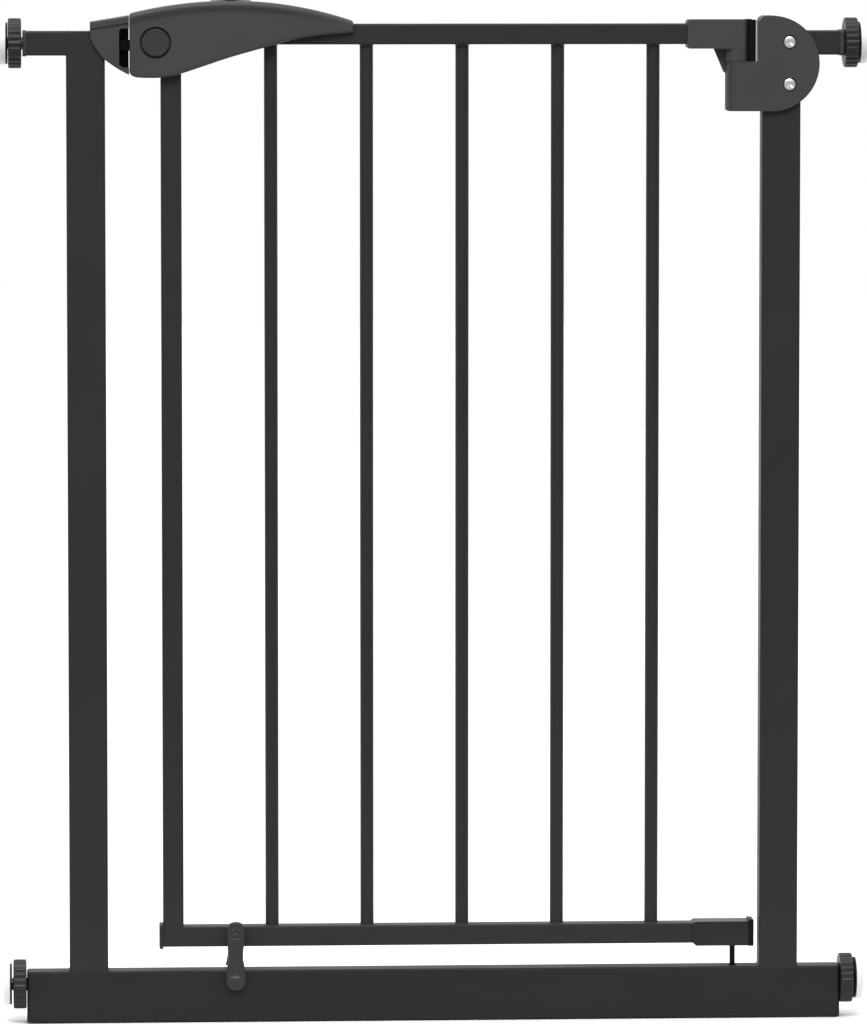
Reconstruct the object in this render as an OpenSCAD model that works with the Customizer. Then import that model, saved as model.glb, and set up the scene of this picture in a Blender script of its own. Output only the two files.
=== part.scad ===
// Pressure-fit safety gate: a U-shaped steel frame held between two walls by four
// screwed pads, and a barred door that lifts a little and swings towards the viewer.
// X runs to the right, Y away from the viewer, Z up. The origin is under the middle
// of the bottom bar, on the surface that the bar stands on.

/* [Frame] */
// Width over the two upright posts
frame_w = 550; // [545:1:556]
// Height of the posts
frame_h = 745.7; // [745:0.1:748]
// Width of a post, seen from the front
post_w = 29; // [26:1:32]
// Depth of every frame tube
frame_d = 20; // [18:1:21]
// Height of the bottom bar
bar_h = 39; // [36:0.5:39]
// Length of the bottom bar
bar_len = 612.6; // [612:0.1:615]
// Height of the short tubes at the top of the posts
stub_h = 18.2; // [16:0.1:19]
// Wall thickness of the frame tubes
wall_t = 1.5; // [1:0.1:2]

/* [Door] */
// Side of the square door tubes
tube = 15.4; // [15:0.1:16]
// Top of the upper door rail
door_top = 750.9; // [750:0.1:752]
// Underside of the lower door rail
door_low = 56.7; // [56:0.1:58]
// Diameter of a rung
rung_d = 10; // [8:0.5:12]
// Distance between rungs
rung_pitch = 71.7; // [70:0.1:72]
// Wall thickness of the door tubes
door_t = 1.2; // [1:0.1:1.5]

/* [Hinge] */
// Distance of the hinge axis from the post's inner face
hinge_inset = 19.5; // [19:0.1:20]
// Half the depth of the hinge housing
housing_y = 13; // [13:0.1:14]
// Radius of the housing's rounded side
housing_r = 35.7; // [34:0.1:36]

/* [Handle and catch] */
// Half the depth of the handle
handle_y = 16; // [15:0.1:16.5]
// Radius of the round push buttons
button_r = 10.3; // [9.8:0.1:10.4]
// Half the depth of the catch
catch_y = 14; // [13.5:0.1:14.5]

/* [Wall pads] */
// Diameter of the adjusting wheels
wheel_d = 37.4; // [36:0.1:38]
// Thickness of an adjusting wheel
wheel_t = 10; // [8:0.1:10]
// Diameter of the threaded spindles
spindle_d = 10; // [8:0.5:10]
// Diameter of the rubber pads
pad_d = 31.4; // [28:0.1:34]
// Height of the lower spindles above the floor
low_axis = 28.5; // [28:0.1:29]

/* [Hidden] */

steel = "#3a3a3a";
plastic = "#4a4a4a";
black = "#161616";
bright = "#c8c8c8";
rubber = "#d8d8d6";

$fn = 64;
eps = 0.01;                                // overlap of a cutting shape past a face
run = 0.05;                                // radial clearance of a running fit
slack = 0.3;                               // gap between faces that slide past each other

post_out = frame_w / 2;                    // outer face of a post
post_in = post_out - post_w;               // inner face of a post
stub_z = frame_h - stub_h / 2;             // height of the upper spindle axis
stub_end = post_out + 29.6;                // outer end of a top stub
hinge_x = post_in - hinge_inset;           // hinge axis
stile_x = -post_in + 49.2;                 // middle of the latch stile
door_left = stile_x - tube / 2;            // outer face of the latch stile
rung_x = stile_x + 74.6;                   // first rung
rail_top_low = door_top - tube;            // underside of the upper rail
rail_low_top = door_low + tube;            // top of the lower rail
rail_low_z = door_low + tube / 2;          // middle of the lower rail
latch_travel = 8;                          // how far the bolt draws back

// ---- shared shapes ----

module tube_along_x(x0, x1, d, z0, z1, t) {
    difference() {
        translate([x0, -d / 2, z0]) cube([x1 - x0, d, z1 - z0]);
        translate([x0 - eps, t - d / 2, z0 + t])
            cube([x1 - x0 + 2 * eps, d - 2 * t, z1 - z0 - 2 * t]);
    }
}

module tube_along_z(x0, x1, d, z0, z1, t, cap = 0) {
    difference() {
        translate([x0, -d / 2, z0]) cube([x1 - x0, d, z1 - z0]);
        translate([x0 + t, t - d / 2, z0 - eps])
            cube([x1 - x0 - 2 * t, d - 2 * t, z1 - z0 - cap + (cap > 0 ? eps : 2 * eps)]);
    }
}

// a round bar along X from x0 to x1
module rod_x(x0, x1, r, z) {
    translate([x0, 0, z]) rotate([0, 90, 0]) cylinder(r = r, h = x1 - x0);
}

// a round bar along Y from y0 to y1
module rod_y(x, y0, y1, r, z) {
    translate([x, y0, z]) rotate([-90, 0, 0]) cylinder(r = r, h = y1 - y0);
}

// a shape drawn in the X-Z plane, given thickness from y0 to y1
module slab_y(y0, y1) {
    translate([0, y1, 0]) rotate([90, 0, 0]) linear_extrude(height = y1 - y0) children();
}

// puts a shape that is drawn for the right-hand side on side +1 or -1
module on_side(side) {
    if (side > 0) children();
    else mirror([1, 0, 0]) children();
}

// an open coil along Z: wire radius w, coil radius r, from z = 0 to z = h
module coil(r, w, h, turns) {
    sides = 6;
    steps = 14;
    rings = turns * steps;
    points = [for (i = [0 : rings], k = [0 : sides - 1])
        let (a = 360 * i / steps, b = 360 * k / sides, q = r + w * cos(b))
        [q * cos(a), q * sin(a), w + (h - 2 * w) * i / rings + w * sin(b)]];
    walls = [for (i = [0 : rings - 1], k = [0 : sides - 1])
        let (n = (k + 1) % sides)
        [i * sides + k, (i + 1) * sides + k, (i + 1) * sides + n, i * sides + n]];
    start = [[for (k = [0 : sides - 1]) k]];
    end = [[for (k = [0 : sides - 1]) rings * sides + sides - 1 - k]];
    polyhedron(points, concat(walls, start, end), convexity = 8);
}

// ---- frame ----

module bottom_bar() {
    color(steel) difference() {
        tube_along_x(-bar_len / 2, bar_len / 2, frame_d, 0, bar_h, wall_t);
        translate([hinge_x, 0, bar_h - wall_t - eps]) cylinder(r = 2.8, h = wall_t + 2 * eps);
    }
}

module post() {
    difference() {
        tube_along_z(post_in, post_out, frame_d, bar_h, frame_h, wall_t, cap = wall_t);
        rod_x(post_out - wall_t - 1, post_out + 1, spindle_d / 2 + 1, stub_z);
    }
}

module left_post() {
    color(steel) on_side(-1) post();
}

module right_post() {
    color(steel) difference() {
        post();
        for (z = hinge_screw_z) rod_y(hinge_screw_x, -frame_d, frame_d, 2.6, z);
    }
}

module top_stub() {
    tube_along_x(post_out, stub_end, frame_d, frame_h - stub_h, frame_h, wall_t);
}

module left_top_stub() { color(steel) on_side(-1) top_stub(); }
module right_top_stub() { color(steel) on_side(1) top_stub(); }

// a guide that closes a tube's end: a shank inside the tube and a thin collar outside it
module tube_plug(x_end, z_mid, height, z_axis, shank, collar, collar_extra) {
    inner = wall_t + 0.05;
    difference() {
        union() {
            translate([x_end - shank, inner - frame_d / 2, z_mid - height / 2 + inner])
                cube([shank + 0.1, frame_d - 2 * inner, height - 2 * inner]);
            translate([x_end, -frame_d / 2 - collar_extra, z_mid - height / 2 - collar_extra])
                cube([collar, frame_d + 2 * collar_extra, height + 2 * collar_extra]);
        }
        rod_x(x_end - shank - 1, x_end + collar + 1, spindle_d / 2 + run, z_axis);
    }
}

module top_stub_plugs() {
    color(plastic) for (side = [-1, 1]) on_side(side)
        tube_plug(stub_end, stub_z, stub_h, stub_z, 15, 2.8, 0.6);
}

module bottom_bar_plugs() {
    color(plastic) for (side = [-1, 1]) on_side(side)
        tube_plug(bar_len / 2, bar_h / 2, bar_h, low_axis, 20, 0.9, -0.6);
}

// ---- catch on the left post ----

catch_right = -228.05;                     // face of the catch that looks at the handle
catch_left = -257;
catch_top = [752.5, 757.2];                // height of the top edge at its left and right end
// left side of the catch on the post, from the top down to where the curve begins
catch_side = [[catch_left, 745], [-256.7, 740.5], [-255.2, 735.9], [-251.9, 731.2]];
slot_x = [catch_right - 7.4, catch_right];
slot_z = [718.6, 747.7];
liner_t = 2;                               // thickness of the slot's lining
liner_y = [-catch_y + liner_t, 10];        // front and back of the lining
slot_rim = 2.8;                            // least wall between the slot and the underside
slot_corner = 2.2;                         // slanted upper corner of the slot
catch_arc = [-188.9, 795.3];               // centre of the curved underside
catch_arc_r = 91;
catch_screw_at = [-251.5, 742];

module catch_outline() {
    a0 = 180 + acos((catch_arc[0] + 248.5) / catch_arc_r);
    a1 = 180 + acos((catch_arc[0] - catch_right) / catch_arc_r);
    polygon(concat(
        [[catch_left, catch_top[0]]], catch_side,
        [for (k = [0 : 12]) let (a = a0 + (a1 - a0) * k / 12)
            catch_arc + catch_arc_r * [cos(a), sin(a)]],
        [[catch_right, catch_top[1]]]));
}

// the slot's area grown by m, which runs past the catch on the right by extra and
// stays inside the curved underside by rim
module slot_area(m, rim, extra) {
    x0 = slot_x[0] - m;
    x1 = slot_x[1] + extra;
    z0 = slot_z[0] - m;
    z1 = slot_z[1] + m;
    intersection() {
        polygon([[x0, z0], [x1, z0], [x1, z1], [x0 + slot_corner, z1], [x0, z1 - slot_corner]]);
        translate(catch_arc) circle(r = catch_arc_r - rim, $fn = 180);
    }
}

module catch_housing() {
    color(plastic) difference() {
        slab_y(-catch_y, catch_y) catch_outline();
        translate([-post_out, -frame_d / 2, 700])
            cube([post_w, frame_d, frame_h - 700]);
        // the slot, open at the front and on the right
        slab_y(-catch_y - 1, 0) slot_area(0, slot_rim, 1);
        // the wider pocket behind it, which holds the lining
        slab_y(liner_y[0], liner_y[1]) slot_area(liner_t, slot_rim - liner_t + 0.4, 1);
        rod_y(catch_screw_at[0], 0, catch_y + 1, 1.5, catch_screw_at[1]);
        rod_y(catch_screw_at[0], catch_y - 1.6, catch_y + 1, 3.6, catch_screw_at[1]);
    }
}

module catch_liner() {
    color(black) difference() {
        slab_y(liner_y[0] + 0.02, liner_y[1] - 0.02)
            slot_area(liner_t - 0.02, slot_rim - liner_t + 0.42, 0);
        slab_y(liner_y[0] - 1, liner_y[1] - liner_t) slot_area(0, slot_rim, 1);
    }
}

// a pan-head screw along Y with its head at y0, pointing away from the head
module pan_screw(x, z, y_head, y_tip, head_r, head_h, shank_r) {
    s = y_tip > y_head ? 1 : -1;
    difference() {
        union() {
            rod_y(x, min(y_head, y_head + s * head_h), max(y_head, y_head + s * head_h), head_r, z);
            rod_y(x, min(y_head + s * head_h / 2, y_tip), max(y_head + s * head_h / 2, y_tip),
                shank_r, z);
        }
        for (a = [45, 135]) translate([x, y_head, z]) rotate([0, a, 0])
            cube([head_r * 1.2, 1.4, 0.9], center = true);
    }
}

module catch_screw() {
    color(bright) pan_screw(catch_screw_at[0], catch_screw_at[1], catch_y - 0.1,
        10.2, 3.2, 1.5, 1.45);
}

// ---- hinge housing on the right post ----

low_z = 685.4;                             // underside of the housing
seat_z = 722.2;                            // where the door bracket rests
housing_left = hinge_x - 7.6;              // left side of the housing
housing_step = post_in - 2.3;              // left side of the upper half
housing_top = 756.8;
arc_x = housing_step + 9.4;                // centre of the rounded side
arc_z = housing_top - housing_r;
nose_x = hinge_x + 4.5;                    // middle of the nose's ellipse in plan
gusset_x = hinge_x - 12.1;                 // where the gusset meets the fin below it
hinge_screw_x = post_in + 20.4;
hinge_screw_z = [737, 705.4];
sleeve_r = 5.5;                            // outside of the pivot sleeve in its bearing
sleeve_low_r = 4.9;                        // outside of the sleeve inside the spring
spring_room_r = 6.4;
spring_top = 712;                          // top of the spring's room

module housing_outline() {
    polygon(concat(
        [[housing_left, low_z + 2], [housing_left + 2, low_z]],
        [for (a = [-90 : 9 : 90]) [arc_x, arc_z] + housing_r * [cos(a), sin(a)]],
        [for (a = [90 : 30 : 180]) [housing_step + 5, housing_top - 5] + 5 * [cos(a), sin(a)]],
        [[housing_step, seat_z], [housing_left, seat_z]]));
}

// plan of the housing: a rounded nose at the hinge axis that widens to the post
module housing_plan() {
    polygon(concat(
        [for (a = [90 : 9 : 270]) [nose_x + 12.1 * cos(a), housing_y * sin(a)]],
        [[post_out + 16, -housing_y], [post_out + 16, housing_y]]));
}

module hinge_housing(y0, y1) {
    difference() {
        intersection() {
            slab_y(y0, y1) union() {
                housing_outline();
                polygon([[gusset_x, seat_z], [gusset_x + 3, 715], [housing_left + 1, 713],
                    [housing_left + 1, seat_z]]);
            }
            translate([0, 0, low_z - 1]) linear_extrude(height = 80) union() {
                housing_plan();
                translate([gusset_x - 1, -1.5]) square([9, 3]);
            }
        }
        translate([post_in, -frame_d / 2, low_z - 1]) cube([post_w, frame_d, frame_h - low_z + 1]);
        translate([post_out - 1, -frame_d / 2, frame_h - stub_h]) cube([30, frame_d, stub_h]);
        translate([hinge_x, 0, spring_top - 1]) cylinder(r = sleeve_r + run, h = 20);
        translate([hinge_x, 0, low_z + 3]) cylinder(r = spring_room_r, h = spring_top - low_z - 3);
    }
}

module hinge_housing_front() {
    color(plastic) difference() {
        hinge_housing(-housing_y, 0);
        for (z = hinge_screw_z) {
            rod_y(hinge_screw_x, -housing_y - 1, 0, 2.25, z);
            rod_y(hinge_screw_x, -housing_y - 1, -housing_y + 1.6, 5, z);
        }
    }
}

module hinge_housing_rear() {
    color(plastic) difference() {
        hinge_housing(0, housing_y);
        for (z = hinge_screw_z) rod_y(hinge_screw_x, 0, housing_y - 0.8, 2.23, z);
    }
}

module hinge_screws() {
    color(bright) for (z = hinge_screw_z)
        pan_screw(hinge_screw_x, z, -housing_y + 0.1, housing_y - 1, 4, 1.5, 2.2);
}

module torsion_spring() {
    color(bright) translate([hinge_x, 0, 691]) coil(5.65, 0.45, 20, 16);
}

// the sleeve turns in the housing, and the door's hexagonal shaft slides up and down in it
module pivot_sleeve() {
    color(bright) difference() {
        translate([hinge_x, 0, 0]) union() {
            translate([0, 0, 690]) cylinder(r = sleeve_low_r, h = spring_top - 690 + 1);
            translate([0, 0, spring_top]) cylinder(r = sleeve_r, h = seat_z - spring_top - slack);
        }
        translate([hinge_x, 0, 689]) cylinder(r = 4.15, h = 40, $fn = 6);
    }
}

module bottom_pivot_bush() {
    color(black) translate([hinge_x, 0, 0]) difference() {
        union() {
            translate([0, 0, 22]) cylinder(r = 2.75, h = bar_h - 22 + 0.4);
            translate([0, 0, bar_h]) cylinder(r = 3.2, h = 0.6);
        }
        translate([0, 0, 21]) cylinder(r = 2 + run, h = 30);
    }
}

// ---- door: tubes ----

module top_rail() {
    color(steel) tube_along_x(door_left, hinge_x - 9, tube, rail_top_low, door_top, door_t);
}

module bottom_rail() {
    color(steel) difference() {
        tube_along_x(door_left, hinge_x + 11.5, tube, door_low, rail_low_top, door_t);
        translate([hinge_x, 0, door_low - 1]) cylinder(r = 2.02, h = 3);
        rod_y(stopper_x, -tube, tube, 2 + run, stopper_z);
    }
}

module latch_stile() {
    color(steel) tube_along_z(door_left, door_left + tube, tube, rail_low_top, rail_top_low, door_t);
}

module rung(i) {
    color(steel) translate([rung_x + (i - 1) * rung_pitch, 0, rail_low_top]) difference() {
        cylinder(d = rung_d, h = rail_top_low - rail_low_top);
        translate([0, 0, -eps])
            cylinder(d = rung_d - 2, h = rail_top_low - rail_low_top + 2 * eps);
    }
}

module rail_end_caps() {
    color(black) {
        cap_plug(door_left, -1, 2.8, 9.2);
        cap_plug(hinge_x + 11.5, 1, 4, 10.2);
    }
}

// a plug in a rail's open end, with a flat flange outside it
module cap_plug(x, s, flange, half) {
    room = tube / 2 - door_t - 0.05;
    translate([x, 0, rail_low_z]) scale([s, 1, 1]) {
        translate([-8, -room, -room]) cube([8.1, 2 * room, 2 * room]);
        translate([0, -half + 0.8, -half]) cube([flange, 2 * half - 1.6, 2 * half]);
    }
}

// ---- door: handle ----

handle_left = catch_right + 0.6;           // face of the handle that looks at the catch
handle_end = -60.6;                        // right-hand tip of the handle
taper_x = [-130, -95];                     // where the depth starts to fall, and falls faster
taper_y = 1.8;                             // loss of half depth between those two
crown = [-151, 768];                       // highest point of the handle
crown_r_left = 315;
crown_r_right = 281;
// underside of the handle, from the corner at the latch end to the tip
underside = [[-222.5, 711.2], [-216, 710.9], [-205, 711], [-191, 713.4], [-175, 718.8],
    [-155, 725.4], [-136, 730.9], [-124, 734], [-112, 738], [-98, 741.1], [-80, 743.1]];

function crown_z(x) = let (r = x < crown[0] ? crown_r_left : crown_r_right)
    crown[1] - r + sqrt(r * r - (x - crown[0]) * (x - crown[0]));

// outline of the handle in the X-Z plane, drawn in by m on every side
module handle_outline(m = 0) {
    x0 = handle_left + m;
    x1 = handle_end - m;
    polygon(concat(
        [[x0, 714.5 + m]],
        [for (p = underside) p + [p[0] < -220 ? m : 0, m]],
        [[x1, 744.4 + m], [x1, 752.6 - m]],
        [for (k = [0 : 20]) let (x = x1 - 1.5 + (x0 - x1 + 2.5) * k / 20) [x, crown_z(x) - m]],
        [[x0, crown_z(x0) - 1.2 - m]]));
}

// plan of the handle: full depth over the latch, narrower towards the tip
module handle_plan(m = 0) {
    y = handle_y - m;
    tip = 11.2 - m;
    polygon([[handle_left + m - eps, -y], [taper_x[0], -y], [taper_x[1], -y + taper_y],
        [handle_end - m + eps, -tip], [handle_end - m + eps, tip],
        [taper_x[1], y - taper_y], [taper_x[0], y], [handle_left + m - eps, y]]);
}

module handle_solid(m, y0, y1) {
    intersection() {
        slab_y(y0, y1) handle_outline(m);
        translate([0, 0, 700]) linear_extrude(height = 80) handle_plan(m);
    }
}

handle_wall = 2.2;
handle_bosses = [[-216.5, 719], [-172, 727.5], [-112, 757]];
button_x = -208.3;
button_z = 737.2;
button_gap = 1.4;                          // open ring round the button
bolt_z = 735;                              // middle of the bolt
slider_x = -152;                           // middle of the thumb slider
rib_x = -128;                              // wall that the bolt spring pushes against
spring_z = 756;                            // axis of the bolt spring

module handle_shell(y0, y1) {
    s = y0 < 0 ? -1 : 1;
    difference() {
        union() {
            difference() {
                handle_solid(0, y0, y1);
                handle_solid(handle_wall, y0 - (s > 0 ? 1 : 0), y1 + (s < 0 ? 1 : 0));
            }
            intersection() {
                for (b = handle_bosses) rod_y(b[0], y0, y1, 3.4, b[1]);
                handle_solid(0.5, y0, y1);
            }
        }
        // the rail and the stile inside the shell
        translate([door_left, -tube / 2, rail_top_low]) cube([200, tube, tube]);
        translate([door_left, -tube / 2, 700]) cube([tube, tube, 40]);
        // the first rung, where it goes up through the shell
        translate([rung_x, 0, 700]) cylinder(r = rung_d / 2 + run, h = 40);
        // way out for the bolt
        translate([handle_left - 1, -4.3, bolt_z - 4.3]) cube([5, 8.6, 8.6]);
        // way for the thumb slider's stem
        translate([slider_x - 4.4, -3.4, 760]) cube([8.8 + latch_travel, 6.8, 15]);
        // round opening for the push button
        rod_y(button_x, s < 0 ? -handle_y - 1 : 0, s < 0 ? 0 : handle_y + 1, button_r + button_gap, button_z);
    }
}

module handle_front_shell() {
    color(plastic) {
        difference() {
            handle_shell(-handle_y, 0);
            for (b = handle_bosses) rod_y(b[0], -handle_y + 3, 1, 1.4, b[1]);
        }
        translate([rib_x, -handle_y + handle_wall - 1, door_top + 0.4]) cube([2, 16, 10]);
    }
}

module handle_rear_shell() {
    color(plastic) difference() {
        handle_shell(0, handle_y);
        for (b = handle_bosses) {
            rod_y(b[0], -1, handle_y + 1, 1.6, b[1]);
            rod_y(b[0], handle_depth(b[0]) - 2.2, handle_y + 1, 3, b[1]);
        }
    }
}

function handle_depth(x) = x < taper_x[0] ? handle_y
    : handle_y - taper_y * (x - taper_x[0]) / (taper_x[1] - taper_x[0]);

module handle_screws() {
    color(bright) for (b = handle_bosses)
        pan_screw(b[0], b[1], handle_depth(b[0]) - 0.8, -handle_y + 4, 2.7, 1.3, 1.4);
}

module push_button(s) {
    scale([1, s, 1]) union() {
        rod_y(button_x, handle_y - handle_wall - 0.4, handle_y + 0.7, button_r, button_z);
        rod_y(button_x, handle_y - 4.8, handle_y - handle_wall - 0.2, button_r + 2.2, button_z);
    }
}

module front_button() { color(plastic) push_button(-1); }
module rear_button() { color(plastic) push_button(1); }

module button_spring() {
    reach = handle_y - 4.9;
    color(bright) translate([-211.5, reach, 727]) rotate([90, 0, 0]) coil(2.2, 0.35, 2 * reach, 9);
}

// ---- latch: bolt, draw link and thumb slider move together ----

leg_x = door_left - 8.7;                   // right side of the bolt and of the link's leg
link_end = slider_x + 8;                   // end of the link that the spring pushes

module latch_bolt() {
    tip = -235.1;
    color(black) difference() {
        translate([tip, -4, bolt_z - 4]) cube([leg_x - tip, 8, 8]);
        for (s = [-1, 1]) translate([tip, s * 4, bolt_z]) rotate([0, 0, s * 45])
            cube([2.2, 2.2, 20], center = true);
    }
}

module latch_link() {
    color(bright) {
        translate([leg_x - 4, -3, bolt_z + 4]) cube([4, 6, spring_z + 2 - bolt_z - 4]);
        translate([leg_x - 0.1, -3, spring_z - 2]) cube([link_end - leg_x, 6, 4]);
    }
}

module thumb_slider() {
    top = crown[1] + 2.8;
    color(plastic) {
        translate([slider_x - 4, -3, spring_z + 2]) cube([8, 6, crown[1] - spring_z - 1.5]);
        slab_y(-8.5, 8.5) polygon([[slider_x - 15, crown[1] + 0.3], [slider_x + 15, crown[1] + 0.3],
            [slider_x + 15, top - 1.5], [slider_x + 12, top], [slider_x + 8, top - 0.9],
            [slider_x - 8, top - 0.9], [slider_x - 12, top], [slider_x - 15, top - 1.5]]);
    }
}

module bolt_spring() {
    x0 = link_end + 0.1;
    color(bright) translate([x0, 0, spring_z]) rotate([0, 90, 0]) coil(2.2, 0.35, rib_x - x0 - 0.1, 6);
}

// ---- door: hinge side ----

sleeve_left = hinge_x - 36.7;              // left end of the sleeve round the upper rail
sleeve_z = [732.2, 753.9];
barrel_r = 7.9;
low_sleeve_left = hinge_x - 30.5;          // left end of the sleeve round the lower rail

module hinge_bracket() {
    half = 10.6;                           // half the depth of the bracket
    color(plastic) difference() {
        union() {
            // sleeve around the upper rail
            slab_y(-half, half) polygon([[sleeve_left + 1.5, sleeve_z[0]], [hinge_x, sleeve_z[0]],
                [hinge_x, sleeve_z[1]], [sleeve_left + 1.5, sleeve_z[1]],
                [sleeve_left, sleeve_z[1] - 1.5], [sleeve_left, sleeve_z[0] + 1.5]]);
            // barrel around the hinge shaft
            translate([hinge_x, 0, seat_z + slack])
                linear_extrude(height = sleeve_z[1] - seat_z - slack) polygon(concat(
                    [for (a = [0 : 12 : 180]) [barrel_r * cos(a), half - barrel_r * (1 - sin(a))]],
                    [for (a = [180 : 12 : 360])
                        [barrel_r * cos(a), barrel_r * (1 + sin(a)) - half]]));
            // web that carries the end plug
            translate([hinge_x, -4, seat_z + slack]) cube([10, 8, sleeve_z[1] - seat_z - slack]);
            // gusset under the sleeve
            slab_y(-1.5, 1.5) polygon([[gusset_x - 4.6, sleeve_z[0] + 0.8], [gusset_x, seat_z + slack],
                [hinge_x, seat_z + slack], [hinge_x, sleeve_z[0] + 0.8]]);
        }
        translate([180, -tube / 2, rail_top_low]) cube([hinge_x - 9 - 180, tube, tube]);
        translate([hinge_x, 0, 700]) cylinder(r = 4.02, h = 752 - 700);
    }
}

module bracket_end_plug() {
    color(black) translate([hinge_x + 10, -5.5, seat_z + slack]) cube([5.1, 11, 31.2]);
}

module hinge_shaft() {
    color(bright) translate([hinge_x, 0, 0]) {
        translate([0, 0, seat_z + 0.2]) cylinder(r = 4, h = 752 - seat_z - 0.2);
        translate([0, 0, 694]) cylinder(r = 4, h = seat_z - 694 + 1, $fn = 6);
    }
}

module bottom_bracket() {
    half = 9.6;
    x1 = hinge_x + 11.5;
    color(plastic) difference() {
        slab_y(-half, half) polygon([[low_sleeve_left, rail_low_z + half - 1.2],
            [low_sleeve_left + 1.2, rail_low_z + half], [x1, rail_low_z + half],
            [x1, rail_low_z - half], [low_sleeve_left + 2.4, rail_low_z - half],
            [low_sleeve_left, rail_low_z - half + 2]]);
        translate([190, -tube / 2, door_low]) cube([80, tube, tube]);
        translate([hinge_x, 0, rail_low_z - half - 1]) cylinder(r = 2, h = 5);
    }
}

module bottom_pivot_pin() {
    color(bright) translate([hinge_x, 0, 24]) union() {
        cylinder(r = 2, h = door_low + door_t - 24);
        translate([0, 0, door_low + door_t - 24]) cylinder(r = 3.5, h = 2);
    }
}

// ---- stopper: two legs on one cross pin through the lower rail ----

stopper_x = -150;
stopper_z = 66;

bulb_r = 7.75;                             // radius of a leg's lower end
bulb_z = 31.7;

// dog-bone outline of a leg, whose head has radius r about height z
module leg_outline(r, z) {
    x = stopper_x;
    polygon(concat(
        [for (a = [0 : 15 : 180]) [x + r * cos(a), z + r * sin(a)]],
        [[x - r + 0.7, 61], [x - 5.6, 54], [x - 5.4, 48], [x - 7, 41]],
        [for (a = [180 : 15 : 360]) [x + bulb_r * cos(a), bulb_z + bulb_r * sin(a)]],
        [[x + 7, 41], [x + 5.6, 48], [x + 5.6, 54], [x + r - 0.7, 61]]));
}

module stopper_leg(s, head_r, head_z) {
    scale([1, s, 1]) difference() {
        union() {
            slab_y(frame_d / 2 + 0.6, 15.6) leg_outline(head_r, head_z);
            rod_y(stopper_x, tube / 2 + 0.1, frame_d / 2 + 1, 5, stopper_z);
        }
        rod_y(stopper_x, 0, 14.2, 2.02, stopper_z);
    }
}

module stopper_front_leg() { color(plastic) stopper_leg(-1, 7, 69.1); }

// the rear leg ends above the bottom bar, so that the door can swing
module stopper_rear_leg() {
    color(plastic) difference() {
        stopper_leg(1, 6.1, stopper_z);
        translate([stopper_x - 20, 0, 0]) cube([40, 30, bar_h + 0.9]);
    }
}

module stopper_pin() { color(bright) rod_y(stopper_x, -14.1, 14.1, 2, stopper_z); }

// ---- wall pads: wheel, spindle, cup and pad ----

spindle_in = 270.5;                        // inner end of a spindle, clear of the hinge screw
neck_r = 3.5;                              // radius of the neck that carries the cup
top_wheel_in = 308.2;                      // inner face of an upper wheel
low_wheel_in = 307.5;                      // inner face of a lower wheel
cup_in = top_wheel_in + wheel_t + slack;
cup_out = cup_in + 1.5;
pad_out = 325;                             // face that meets the wall
ribs = 24;                                 // grip ribs round a wheel

module wheel(x, z) {
    translate([x, 0, z]) rotate([0, 90, 0]) difference() {
        linear_extrude(height = wheel_t) polygon([for (i = [0 : ribs - 1], k = [0 : 3])
            let (a = 360 * (i + [0, 0.15, 0.5, 0.65][k]) / ribs,
                 r = wheel_d / 2 - [0.9, 0, 0, 0.9][k])
            [r * cos(a), r * sin(a)]]);
        translate([0, 0, -1]) cylinder(d = spindle_d + 2 * run, h = wheel_t + 2);
        translate([0, 0, wheel_t - 2]) difference() {
            cylinder(r = 14, h = 3);
            cylinder(r = 8, h = 3);
        }
    }
}

module spindle(z) {
    rod_x(spindle_in, cup_in, spindle_d / 2, z);
    rod_x(cup_in - 1, cup_out, neck_r, z);
}

module pad_cup(z) {
    difference() {
        rod_x(cup_in, cup_out, pad_d / 2 - 0.2, z);
        rod_x(cup_in - 1, cup_out + 1, neck_r + 0.02, z);
    }
}

module rubber_pad(z) {
    r = pad_d / 2;
    t = pad_out - cup_out;
    translate([cup_out, 0, z]) rotate([0, 90, 0]) rotate_extrude() polygon([[0, 0], [r, 0],
        [r, t - 1.5], [r - 0.5, t - 0.5], [r - 1.5, t], [0, t]]);
}

module wheel_top_left() { color(black) on_side(-1) wheel(top_wheel_in, stub_z); }
module wheel_top_right() { color(black) on_side(1) wheel(top_wheel_in, stub_z); }
module wheel_bottom_left() { color(black) on_side(-1) wheel(low_wheel_in, low_axis); }
module wheel_bottom_right() { color(black) on_side(1) wheel(low_wheel_in, low_axis); }
module spindle_top_left() { color(bright) on_side(-1) spindle(stub_z); }
module spindle_top_right() { color(bright) on_side(1) spindle(stub_z); }
module spindle_bottom_left() { color(bright) on_side(-1) spindle(low_axis); }
module spindle_bottom_right() { color(bright) on_side(1) spindle(low_axis); }
module pad_cup_top_left() { color(black) on_side(-1) pad_cup(stub_z); }
module pad_cup_top_right() { color(black) on_side(1) pad_cup(stub_z); }
module pad_cup_bottom_left() { color(black) on_side(-1) pad_cup(low_axis); }
module pad_cup_bottom_right() { color(black) on_side(1) pad_cup(low_axis); }
module rubber_pad_top_left() { color(rubber) on_side(-1) rubber_pad(stub_z); }
module rubber_pad_top_right() { color(rubber) on_side(1) rubber_pad(stub_z); }
module rubber_pad_bottom_left() { color(rubber) on_side(-1) rubber_pad(low_axis); }
module rubber_pad_bottom_right() { color(rubber) on_side(1) rubber_pad(low_axis); }

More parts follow.
